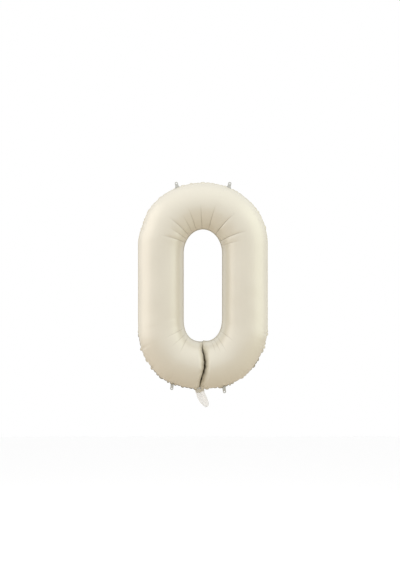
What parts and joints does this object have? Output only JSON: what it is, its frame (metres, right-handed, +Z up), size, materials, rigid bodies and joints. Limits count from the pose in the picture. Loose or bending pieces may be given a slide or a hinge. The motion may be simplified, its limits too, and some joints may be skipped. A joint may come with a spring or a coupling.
{
  "type": "foil number balloon",
  "caption": "Inflated foil balloon in the shape of the digit zero, with hanging tabs on its outer seam, a filling tail below and a self-sealing valve in the neck.",
  "frame": {"origin": "the neck: the point on the outer seam's edge where the tail begins", "axes": "+Z up the digit, +X to the viewer's right, -Y towards the viewer; the seams lie in Y = 0"},
  "size_m": [0.542, 0.184, 0.9369],
  "materials": {
    "printed_foil": "satin cream print on metallised film",
    "bare_film": "unprinted silvery film",
    "tail_film": "frosted, slightly see-through film",
    "valve_film": "clear soft polyethylene film"
  },
  "bodies": {
    "envelope": {"front_panel": "printed_foil", "back_panel": "printed_foil", "valve_front_film": "valve_film", "valve_back_film": "valve_film"},
    "tail": {"tail_front_ply": "tail_film", "tail_back_ply": "tail_film"},
    "top_left_tab": {"top_left_tab": "bare_film"},
    "top_right_tab": {"top_right_tab": "bare_film"},
    "bottom_left_tab": {"bottom_left_tab": "bare_film"},
    "bottom_right_tab": {"bottom_right_tab": "bare_film"}
  },
  "joints": [
    {"name": "tail_flap", "type": "hinge", "parent": "envelope", "child": "tail", "pos_m": [-0.00008, 0, -0.0016], "axis": [-0.9987, 0, 0.0517], "range_deg": [-100, 100], "stiffness_Nm_per_rad": 0.0005},
    {"name": "top_left_flap", "type": "hinge", "parent": "envelope", "child": "top_left_tab", "pos_m": [-0.09324, 0, 0.84217], "axis": [0.9188, 0, 0.3948], "range_deg": [-90, 90], "stiffness_Nm_per_rad": 0.0002},
    {"name": "top_right_flap", "type": "hinge", "parent": "envelope", "child": "top_right_tab", "pos_m": [0.12224, 0, 0.84174], "axis": [0.9172, 0, -0.3985], "range_deg": [-90, 90], "stiffness_Nm_per_rad": 0.0002},
    {"name": "bottom_left_flap", "type": "hinge", "parent": "envelope", "child": "bottom_left_tab", "pos_m": [-0.11328, 0, 0.03071], "axis": [-0.8834, 0, 0.4686], "range_deg": [-90, 90], "stiffness_Nm_per_rad": 0.0002},
    {"name": "bottom_right_flap", "type": "hinge", "parent": "envelope", "child": "bottom_right_tab", "pos_m": [0.10119, 0, 0.01341], "axis": [-0.9471, 0, -0.321], "range_deg": [-90, 90], "stiffness_Nm_per_rad": 0.0002}
  ]
}
